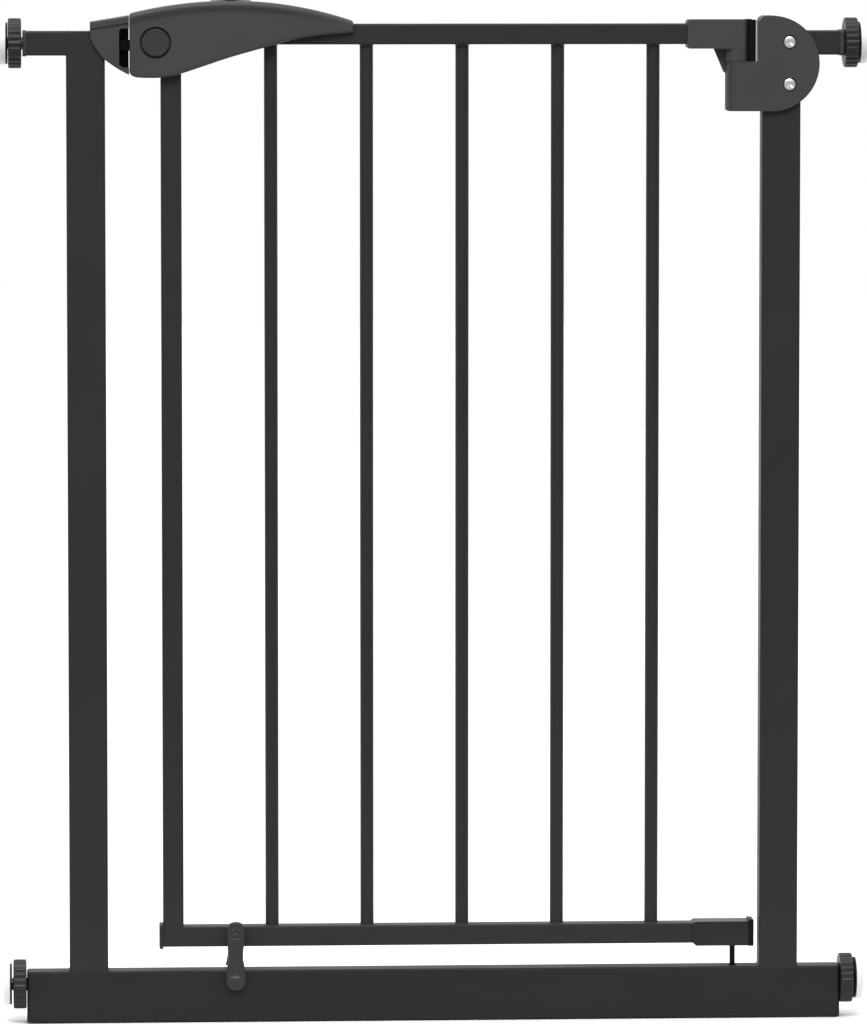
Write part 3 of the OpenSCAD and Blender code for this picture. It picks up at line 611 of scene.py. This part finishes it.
piece(end_cap("rail_cap_left", -1, DOOR_LEFT, 9.2, 2.8), "door", "frame_paint", "rail_end_caps")
piece(end_cap("rail_cap_right", 1, LOW_RAIL_END, 10.2, 4.0), "door", "plug_plastic",
      "rail_end_caps")

# ---------------------------------------------------------------- hinge bracket

HALF, BRACKET_LEFT, BRACKET_LOW, BRACKET_TOP = 10.6, 189.8, 732.2, 753.9
BARREL_LOW = SEAT_Z + 0.3
ROUND, TIGHT = 7.9, 3.6                    # the barrel's corners towards the door and away from it
sleeve = slab("bracket_body", [(BRACKET_LEFT + 1.5, BRACKET_LOW), (HINGE_X, BRACKET_LOW),
                               (HINGE_X, BRACKET_TOP), (BRACKET_LEFT + 1.5, BRACKET_TOP),
                               (BRACKET_LEFT, BRACKET_TOP - 1.5),
                               (BRACKET_LEFT, BRACKET_LOW + 1.5)], -HALF, HALF)
capsule = (arc(HINGE_X + 4.3, HALF - TIGHT, TIGHT, 0, 90, 12)
           + arc(HINGE_X, HALF - ROUND, ROUND, 90, 180, 16)
           + arc(HINGE_X, ROUND - HALF, ROUND, 180, 270, 16)
           + arc(HINGE_X + 4.3, TIGHT - HALF, TIGHT, 270, 360, 12))
barrel = plan_slab("barrel", capsule, BARREL_LOW, BRACKET_TOP)
web = brick("web", (HINGE_X, -4, BARREL_LOW), (HINGE_X + 10, 4, BRACKET_TOP))
gusset = slab("gusset", [(209.8, 733), (214.4, SEAT_Z + 0.06), (HINGE_X, SEAT_Z + 0.06),
                         (HINGE_X, 733)], -1.5, 1.5)
sleeve = unite(sleeve, barrel, web, gusset)
sleeve = cut(sleeve,
             brick("rail_room", (180, -TUBE / 2, RAIL_TOP_LOW), (RAIL_END, TUBE / 2, DOOR_TOP)),
             round_bar("shaft_room", "z", 700, 752, (HINGE_X, 0, 0), 4.0))
soften(sleeve, 0.6)
piece(sleeve, "door", "housing_plastic", "hinge_bracket")

plug = brick("bracket_plug", (HINGE_X + 10, -5.5, BARREL_LOW),
             (HINGE_X + 15.1, 5.5, SEAT_Z + 31.5))
plug = unite(plug, brick("neck", (HINGE_X + 7.3, -4.3, SEAT_Z + 0.25),
                         (HINGE_X + 12, 4.3, SEAT_Z + 32.0)))
soften(plug, 0.5)
piece(plug, "door", "plug_plastic", "bracket_end_plug")

LOW_HALF = 9.6
low_sleeve = slab("low_bracket_body", [(196, RAIL_Z + 7.6), (197.2, RAIL_Z + 8.8),
                                       (LOW_RAIL_END, RAIL_Z + 8.8),
                                       (LOW_RAIL_END, RAIL_Z - LOW_HALF),
                                       (198.4, RAIL_Z - LOW_HALF), (196, RAIL_Z - 7.6)],
                  -LOW_HALF, LOW_HALF)
low_sleeve = cut(low_sleeve, brick("rail_room", (190, -TUBE / 2, DOOR_LOW),
                                   (280, TUBE / 2, RAIL_LOW_TOP)))
soften(low_sleeve, 0.6)
piece(low_sleeve, "door", "dark_grey_plastic", "bottom_bracket")

pin = turned("pivot_pin", [(24, 0.05), (24, 1.5), (24.5, 2.0), (53.2, 2.0), (53.4, 2.6),
                           (54.8, 2.6), (55, 2.0), (57.9, 2.0), (57.9, 0.05)], "z",
             (HINGE_X, 0, 0), 40)
piece(pin, "door", "black_steel", "bottom_pivot_pin")

# ---------------------------------------------------------------- handle

def smooth(t):
    """Rises from 0 to 1 with level ends."""
    t = min(max(t, 0.0), 1.0)
    return t * t * (3 - 2 * t)


H_X0, H_X1 = -227.45, -60.6                # the handle's ends
CROWN, CROWN_LEFT_R, CROWN_RIGHT_R = (-151.0, 768.0), 315.0, 281.0
CROWN_EDGE = 1.4                           # how far in from its left end the top is rounded
UNDER = [(H_X0, 714.5), (-226.6, 713.1), (-225, 712.0), (-222.5, 711.3), (-216, 710.9),
         (-205, 711.0), (-198, 711.9), (-191, 713.5), (-175, 718.7), (-155, 725.4), (-136, 730.9),
         (-124, 734.2), (-112, 737.8), (-98, 741.0), (-80, 743.1), (H_X1, 744.4)]


def spline(points, x):
    """Smooth curve through points (x rising), by Catmull-Rom on each span."""
    for i in range(len(points) - 1):
        if x <= points[i + 1][0] or i == len(points) - 2:
            break
    x0, y0 = points[i]
    x1, y1 = points[i + 1]
    xa, ya = points[max(i - 1, 0)]
    xb, yb = points[min(i + 2, len(points) - 1)]
    m0 = (y1 - ya) / (x1 - xa)
    m1 = (yb - y0) / (xb - x0)
    t = min(max((x - x0) / (x1 - x0), 0), 1)
    w = x1 - x0
    return ((2 * t**3 - 3 * t**2 + 1) * y0 + (t**3 - 2 * t**2 + t) * w * m0
            + (3 * t**2 - 2 * t**3) * y1 + (t**3 - t**2) * w * m1)


def under_z(x):
    return spline(UNDER, x)


def crown_z(x):
    r = CROWN_LEFT_R if x < CROWN[0] else CROWN_RIGHT_R
    z = CROWN[1] - r + math.sqrt(r * r - (x - CROWN[0]) ** 2)
    edge = min(x - H_X0, CROWN_EDGE)
    return z - (CROWN_EDGE - edge) ** 2 * 0.55 - max(0.0, x - (H_X1 - 1.6)) ** 2 * 0.4


FACE_Y, RIM_Y, TIP_Y = 14.5, 16.5, 11.2
TAPER_X, RIM_END, RIM_FADE = -110, -72, 60     # where the taper starts, and how the rim runs out
RIM_H, RIM_SLOPE = 3.3, 4.8                # height of the rim and of the slope under it
TOP_R, LOW_R, LEFT_R, RIGHT_R = 3.4, 2.1, 0.45, 0.9
SHELL = 2.2


def face_depth(x):
    """Half the depth of the handle over its flat face."""
    return FACE_Y - (FACE_Y - TIP_Y) * max(0.0, (x - TAPER_X) / (H_X1 - TAPER_X)) ** 1.2


def rim_depth(x):
    """Half the depth of the rolled edge along the top."""
    return face_depth(x) + (RIM_Y - FACE_Y) * smooth((RIM_END - x) / RIM_FADE)


def rounded_off(depth, d, r):
    """depth, drawn back as a quarter circle of radius r at less than r from an edge d away."""
    return depth - r + math.sqrt(max(0.0, r * r - (r - d) ** 2)) if d < r else depth


def front_y(x, z, wall=0.0):
    """How far the handle's face, less wall, stands from the middle plane at x, z."""
    d_top, d_low = crown_z(x) - z, z - under_z(x)
    rim = rim_depth(x)
    face = rim - (rim - face_depth(x)) * smooth((d_top - RIM_H) / RIM_SLOPE)
    for d, r in ((d_top, TOP_R), (d_low, LOW_R), (x - H_X0, LEFT_R), (H_X1 - x, RIGHT_R)):
        face = rounded_off(face, d, r)
    return face - wall


def spread(a, b, steps, fine):
    """Positions from a to b, closer together near both ends."""
    out = [a + f for f in fine] + [b - f for f in fine]
    lo, hi = a + fine[-1], b - fine[-1]
    out += [lo + (hi - lo) * k / steps for k in range(1, steps)]
    return sorted(out)


def sheet_faces(at, rows, cols):
    """The quads of a grid whose point in row i and column k has the number at(i, k)."""
    return [(at(i, k), at(i + 1, k), at(i + 1, k + 1), at(i, k + 1))
            for i in range(rows - 1) for k in range(cols - 1)]


def handle_half(name, s):
    """One half of the handle: an outer and an inner skin, a wall apart, joined at the seam."""
    xs = spread(H_X0, H_X1, 110, [0, 0.07, 0.25, 0.55, 0.9, 1.4])
    low_steps = [0.0, 0.05, 0.2, 0.45, 0.8, 1.3]
    top_turns = (15, 30, 45, 60, 75, 84, 90)
    middle = 33
    cols, n = len(xs), len(low_steps) + middle + len(top_turns) + 2

    def section(x, wall):
        """Up from the seam under the handle, over its face, to the seam on top."""
        x = min(max(x, H_X0 + wall), H_X1 - wall)
        top, low = crown_z(x) - wall, under_z(x) + wall
        rise = top - low - low_steps[-1] - TOP_R
        zs = [low + f for f in low_steps]
        zs += [low + low_steps[-1] + rise * k / middle for k in range(1, middle + 1)]
        zs += [top - TOP_R * (1 - math.sin(math.radians(a))) for a in top_turns]
        least = 0.6 if wall else 0.0
        return ([(x, 0.0, low)] + [(x, s * max(front_y(x, z, wall), least), z) for z in zs]
                + [(x, 0.0, top)])

    points = [p for wall in (0.0, SHELL) for x in xs for p in section(x, wall)]

    def at(skin, i, k):
        return skin * cols * n + i * n + k
    faces = []
    for skin in (0, 1):
        faces += sheet_faces(lambda i, k: at(skin, i, k), cols, n)
        for i in (0, cols - 1):               # flat ends of each skin
            faces.append(tuple(at(skin, i, k) for k in range(n)))
    for i in range(cols - 1):                 # the edge along the seam, under and on top
        for k in (0, n - 1):
            faces.append((at(0, i, k), at(0, i + 1, k), at(1, i + 1, k), at(1, i, k)))
    for i in (0, cols - 1):
        faces.append((at(0, i, 0), at(0, i, n - 1), at(1, i, n - 1), at(1, i, 0)))
    return solid(name, points, faces)


BUTTON, BUTTON_R, BUTTON_HOLE, FLANGE_R = (-208.3, 737.2), 10.2, 11.85, 12.5
SLIDER_X = -152.0
BOSSES = ((-216.5, 719.0), (-172.0, 727.5), (-112.0, 757.0))
for word, s in (("front", -1), ("rear", 1)):
    half = handle_half("handle_" + word + "_half", s)
    way = "-y" if s < 0 else "y"
    cuts = [round_bar("button_hole", way, 4, 20, (BUTTON[0], 0, BUTTON[1]), BUTTON_HOLE, 96),
            brick("bolt_way", (H_X0 - 1, -4.3, 730.7), (H_X0 + 4, 4.3, 739.3)),
            brick("slider_way", (SLIDER_X - 4.4, -3.4, 760), (SLIDER_X + 12.4, 3.4, 775))]
    if s > 0:
        for x, z in BOSSES:
            y = face_depth(x)
            cuts.append(round_bar("screw_seat", "y", y - 3.2, y + 2, (x, 0, z), 3.0, 48))
    half = close(cut(half, *cuts))
    piece(half, "door", "housing_plastic", "handle_" + word + "_shell")

for k, (x, z) in enumerate(BOSSES):
    screw = pan_head(f"handle_screw_{k + 1}", x, z, face_depth(x) - 1.6, 1, 2.7, 1.3)
    piece(screw, "door", "bright_steel", "handle_screws")

for word, s in (("front", -1), ("rear", 1)):
    # a flat disc with a broken edge, and a flange behind the shell that keeps it in
    f = FACE_Y
    profile = [(f - 3.7, 0.05), (f - 3.7, FLANGE_R), (f - 3.0, FLANGE_R), (f - 3.0, BUTTON_R),
               (f, BUTTON_R), (f + 0.25, 10.12), (f + 0.45, 9.9), (f + 0.55, 9.6),
               (f + 0.55, 9.1), (f + 0.4, 8.7), (f + 0.4, 0.05)]
    button = turned(f"button_{word}_cap", profile, "-y" if s < 0 else "y",
                    (BUTTON[0], 0, BUTTON[1]), 96)
    # The buttons wear the darker copy of the grey moulding as painted shade.
    piece(button, word + "_push", "housing_plastic", word + "_button", look=CAP_PAINTED_SHADE)

bolt = brick("latch_bolt_bar", (-235.1, -4, 731), (-213.2, 4, 739))
soften(bolt, 0.9)
piece(bolt, "latch", "plug_plastic", "latch_bolt")

top = CROWN[1] + 2.8
right_half = [(15, CROWN[1] + 0.3), (15, top - 1.3), (12, top - 0.1), (8, top - 0.9)]
cap = slab("slider_cap", [(SLIDER_X + d, z) for d, z in right_half]
           + [(SLIDER_X - d, z) for d, z in reversed(right_half)], -8.5, 8.5)
ridges = [slab("ridge", [(SLIDER_X + d - 0.6, top - 1.2), (SLIDER_X + d + 0.6, top - 1.2),
                         (SLIDER_X + d, top - 0.35)], -6.5, 6.5) for d in (-6, -3, 0, 3, 6)]
stem = brick("stem", (SLIDER_X - 4, -3, 758), (SLIDER_X + 4, 3, CROWN[1] + 0.6))
cap = unite(cap, stem, *ridges)
soften(cap, 0.35)
piece(cap, "latch", "housing_plastic", "thumb_slider")

# ---------------------------------------------------------------- stopper

STOP_X, STOP_Z = -150.0, 66.0
# half widths of a leg at heights: its bulb below, and the two heads above
BULB = [(23.95, 0.0), (24.5, 2.9), (26.0, 5.2), (28.4, 7.0), (31.7, 7.75), (36.0, 7.55),
        (40.6, 6.9), (44.3, 6.0), (48.0, 5.5), (51.0, 5.45), (54.0, 5.6)]
FRONT_HEAD = [(57.5, 6.0), (61.0, 6.4), (65.0, 6.9), (69.1, 7.0), (72.2, 6.3), (74.4, 4.8),
              (75.6, 2.8), (76.1, 0.0)]
REAR_HEAD = [(57.5, 5.8), (61.0, 6.0), (66.0, 6.1), (68.8, 5.4), (70.6, 4.1), (71.7, 2.3),
             (72.1, 0.0)]
LEG_IN, LEG_OUT, LEG_R = 10.6, 15.0, 1.7


def bump(d, w):
    """A rounded hill of width w, at d from its middle."""
    return math.exp(-(d / w) ** 2)


def leg_face(u, z, half):
    """Relief of the leg's face at u, z: two chevrons and a bar on the head, a ridge on the bulb
    and a thumb hollow over it."""
    x = u * half
    lift = 1.1 * bump(z - (71.2 - 0.8 * abs(x)), 0.8) * smooth((6.0 - abs(x)) / 2)
    lift += 0.9 * bump(z - (67.4 - 0.6 * abs(x)), 0.7) * smooth((4.6 - abs(x)) / 2)
    lift += 0.8 * bump(z - 62.6, 0.9) * smooth((6.2 - abs(x)) / 2)
    lift -= 1.9 * bump(z - 40.5, 4.8) * bump(x + 0.6, 3.0)
    lift += 0.9 * bump(z - 33.2, 1.3) * smooth((6.0 - abs(x)) / 2)
    return lift


def stopper_leg(name, s, head, z_cut=None):
    """A leg on the side s of the rail; z_cut is where the rear one ends, flat, over the bar."""
    side_line = BULB + head
    lo, hi = side_line[0][0], side_line[-1][0]
    steps = 96
    if z_cut:
        zs = [z_cut + (hi - z_cut) * math.sin(math.pi / 2 * k / steps) for k in range(steps + 1)]
    else:
        zs = [lo + (hi - lo) * (1 - math.cos(math.pi * k / steps)) / 2 for k in range(steps + 1)]
    us = [math.sin(math.pi / 2 * (k / 14)) for k in range(-14, 15)]
    points = []
    for side in (0, 1):
        for z in zs:
            half = max(spline(side_line, z), 0.02)
            for u in us:
                gap = half * (1 - abs(u))
                for end in (z - lo, hi - z):
                    gap = min(gap, max(end, 0.0) * 1.4)
                edge = LEG_R - math.sqrt(max(0.0, LEG_R ** 2 - (LEG_R - min(gap, LEG_R)) ** 2))
                relief = leg_face(u, z, half) * smooth(gap / 1.2)
                y = LEG_IN if side else LEG_OUT - edge + relief
                points.append((STOP_X + u * half, s * y, z))
    rows, n = len(zs), len(us)

    def at(side, i, k):
        return side * rows * n + i * n + k
    faces = []
    for side in (0, 1):
        faces += sheet_faces(lambda i, k: at(side, i, k), rows, n)
    for i in range(rows - 1):
        for k in (0, n - 1):
            faces.append((at(0, i, k), at(0, i + 1, k), at(1, i + 1, k), at(1, i, k)))
    for i in (0, rows - 1):
        for k in range(n - 1):
            faces.append((at(0, i, k), at(0, i, k + 1), at(1, i, k + 1), at(1, i, k)))
    face = TUBE / 2
    boss = turned("boss", [(face + 0.1, 0.05), (face + 0.1, 4.6), (face + 0.5, 5.0), (11.0, 5.0),
                           (11.0, 0.05)], "y" if s > 0 else "-y", (STOP_X, 0, STOP_Z), 48)
    return unite(solid(name, points, faces), boss)


# The stopper's legs wear the lighter copy of the dark grey plastic as painted light.
piece(stopper_leg("stopper_front", -1, FRONT_HEAD), "stopper", "dark_grey_plastic",
      "stopper_front_leg", look=CLIP_PAINTED_LIGHT)
piece(stopper_leg("stopper_rear", 1, REAR_HEAD, BAR_H + 0.9), "stopper", "dark_grey_plastic",
      "stopper_rear_leg", look=CLIP_PAINTED_LIGHT)

# ---------------------------------------------------------------- wheels, spindles, pads

RIBS = 24
CUP_X, WALL_X, THREAD_R, THREAD_DEPTH, PITCH = 318.5, 325, 4.97, 0.45, 1.5


def wheel_rib(along, radius, a):
    """Cuts the grip's ribs into the wheel's outer face."""
    if radius < 16.9 or not 0.3 < along < WHEEL_T - 0.3:
        return radius
    wave = 0.5 + 0.5 * math.cos(RIBS * a)
    ease = smooth((along - 0.3) / 0.8) * smooth((WHEEL_T - 0.3 - along) / 0.8)
    return radius - 0.95 * (1 - wave ** 0.7) * ease


def threaded(name, x0, x1, z):
    """A spindle with a trapezoid thread, and the neck that carries the pad."""
    sides, per_turn = 32, 8
    steps = int((x1 - x0) / PITCH * per_turn)

    def ring(x, radius):
        out = []
        for k in range(sides):
            a = 2 * math.pi * k / sides
            r = radius(x, k / sides)
            out.append((x, r * math.cos(a), z + r * math.sin(a)))
        return out

    def thread(x, turn):
        phase = ((x - x0) / PITCH - turn) % 1.0
        tooth = min(max(abs(phase - 0.5) * 4 - 0.5, 0.0), 1.0)
        ease = smooth((x - x0) / 1.5) * smooth((x1 - x) / 1.0)
        return THREAD_R - THREAD_DEPTH * (1 - tooth * ease)

    rings = [ring(x0 + (x1 - x0) * i / steps, thread) for i in range(steps + 1)]
    rings += [ring(x, lambda *_: 3.4) for x in (x1, x1 + 1.5)]
    return loft(name, rings)


def grip_radius(along):
    """The wheel's radius over its grip, eased down towards both faces."""
    fall = 2 - smooth((along - 0.3) / 0.9) - smooth((WHEEL_T - 0.3 - along) / 0.9)
    return WHEEL_R - 0.45 * fall


r, t = WHEEL_R, WHEEL_T
grip = [0.3 + (t - 0.6) * k / 14 for k in range(15)]
WHEEL_LINE = ([(0, 5.1), (0, r - 1.5), (0.12, r - 1.15)] + [(a, grip_radius(a)) for a in grip]
              + [(t - 0.12, r - 1.15), (t, r - 1.5), (t, 14.0), (t - 0.3, 13.7), (t - 2, 13.6),
                 (t - 2, 8.4), (t - 0.3, 8.2), (t, 7.9), (t, 5.1)])
CUP_LINE = [(CUP_X, 3.5), (CUP_X, 15.2), (318.8, 15.5), (319.8, 15.5), (320, 15.3), (320, 3.5)]
PAD_LINE = [(320, 0.05), (320, 15.45), (320.3, 15.7), (323.3, 15.7), (324.2, 15.45),
            (324.75, 14.9), (WALL_X, 14.2), (WALL_X, 12.4), (324.6, 12.1), (324.6, 11.3),
            (WALL_X, 11.0), (WALL_X, 8.6), (324.6, 8.3), (324.6, 7.5), (WALL_X, 7.2),
            (WALL_X, 2.6), (324.4, 2.3), (324.4, 0.05)]

for level, z in (("top", STUB_Z), ("bottom", LOW_AXIS)):
    for side, word in SIDES:
        where = f"{level}_{word}"
        wheel = turned("wheel_" + where + "_grip", WHEEL_LINE, "x", (WHEEL_IN[level], 0, z),
                       RIBS * 12, wheel_rib, hollow=True)
        cup = turned("cup_" + where, CUP_LINE, "x", (0, 0, z), 72, hollow=True)
        pad = turned("pad_" + where, PAD_LINE, "x", (0, 0, z), 72)
        rod = threaded("spindle_" + where + "_rod", 270.5, CUP_X, z)
        if side < 0:
            for made in (wheel, cup, pad, rod):
                mirror_x(made)
        piece(wheel, "wheel_" + where, "dark_grey_plastic", "wheel_" + where)
        piece(cup, "spindle_" + where, "plug_plastic", "pad_cup_" + where)
        piece(pad, "spindle_" + where, "pad_rubber", "rubber_pad_" + where)
        piece(rod, "spindle_" + where, "zinc_steel", "spindle_" + where)

# ---------------------------------------------------------------- CAD nodes that stay

for node, slot in (("torsion_spring", "spring_steel"), ("pivot_sleeve", "zinc_steel"),
                   ("bolt_spring", "spring_steel"), ("button_spring", "spring_steel"),
                   ("hinge_shaft", "zinc_steel"), ("latch_link", "bright_steel"),
                   ("stopper_pin", "bright_steel")):
    NODES[node].data.materials.clear()
    NODES[node].data.materials.append(LOOK[slot])

# ---------------------------------------------------------------- floor, light, camera

FLOOR = plain("pale_floor", 0.93, 0.95, 0.8, 40, 0.02, 0.0002, 0.1)
FLOOR_Z, FLOOR_REACH = -0.6, 9000
# The floor's tone is painted shade: grey in front, so it sends less light up under the gate, white
# at the gate.
FLOOR_SPAN, FLOOR_TONES = (-0.42, -0.015), (0.3, 0.94)     # light grey in front, white at the gate
BEHIND = ((0.0, 0.55), (0.30, 0.25), (0.62, 0.25), (0.92, 1.0))   # the world from front to rear
OVERHEAD_SPAN, OVERHEAD = (0.35, 0.9), 1.3

reach = FLOOR_REACH
floor = solid("studio_floor", [(-reach, -reach, FLOOR_Z), (reach, -reach, FLOOR_Z),
                               (reach, reach, FLOOR_Z), (-reach, reach, FLOOR_Z)], [(0, 1, 2, 3)])
tree = FLOOR.node_tree
along = add_node(tree, "SeparateXYZ")
tree.links.new(add_node(tree, "TexCoord").outputs["Object"], along.inputs["Vector"])
# Painted shade on the floor: its tone falls from white at the gate to grey in front.
tone = map_range(tree, along.outputs["Y"], FLOOR_SPAN, FLOOR_TONES,
                 interpolation_type="SMOOTHSTEP")
tree.links.new(tone, tree.nodes["Principled BSDF"].inputs["Base Color"])
floor.data.materials.append(FLOOR)

world = bpy.data.worlds.new("studio")
world.use_nodes = True
tree = world.node_tree
split = add_node(tree, "SeparateXYZ")
tree.links.new(add_node(tree, "TexCoord").outputs["Generated"], split.inputs["Vector"])
half_way = add_node(tree, "Math", {1: 0.5, 2: 0.5}, operation="MULTIPLY_ADD")
tree.links.new(split.outputs["Y"], half_way.inputs[0])
fall = add_node(tree, "ValToRGB")                      # white behind the gate, dimmer beside it
fall.color_ramp.interpolation = "EASE"
stops = fall.color_ramp.elements
for at, level in BEHIND[1:-1]:
    stops.new(at)
for stop, (at, level) in zip(stops, BEHIND):
    stop.position = at
    stop.color = (level, level, level, 1)
tree.links.new(half_way.outputs["Value"], fall.inputs["Fac"])
above = map_range(tree, split.outputs["Z"], OVERHEAD_SPAN, (0.0, OVERHEAD),
                  interpolation_type="SMOOTHSTEP")     # and a broad soft light overhead
total = add_node(tree, "Math", operation="ADD")
tree.links.new(fall.outputs["Color"], total.inputs[0])
tree.links.new(above, total.inputs[1])
background = tree.nodes["Background"].inputs
tree.links.new(total.outputs["Value"], background["Strength"])
background["Color"].default_value = (1, 1, 1, 1)
bpy.context.scene.world = world
bpy.context.scene.view_settings.view_transform = "Standard"


def put(obj, place, ahead):
    """Links obj at place, in metres, turned to look along ahead."""
    bpy.context.scene.collection.objects.link(obj)
    obj.location = place
    obj.rotation_mode = "QUATERNION"
    obj.rotation_quaternion = ahead.to_track_quat("-Z", "Y")


def area_light(name, place, aim, size, power):
    """A rectangular lamp at place that looks at aim."""
    data = bpy.data.lights.new(name, "AREA")
    data.shape = "RECTANGLE"
    data.size, data.size_y = size
    data.energy = power
    put(bpy.data.objects.new(name, data), place, Vector(aim) - Vector(place))


area_light("top_light", (-0.4, -1.9, 3.0), (0, 0, 0.45), (2.4, 1.2), 75)

LENS, EYE, YAW, PITCH_DOWN = 255.32, (-0.29842, -5.43681, 0.84422), 0.0548, 0.08428
cam_data = bpy.data.cameras.new("camera")
cam_data.sensor_width = 36
cam_data.lens = LENS
cam_data.clip_start, cam_data.clip_end = 0.05, 60
cam = bpy.data.objects.new("camera", cam_data)
across = math.cos(PITCH_DOWN)
put(cam, EYE, Vector((math.sin(YAW) * across, math.cos(YAW) * across, -math.sin(PITCH_DOWN))))
bpy.context.scene.camera = cam
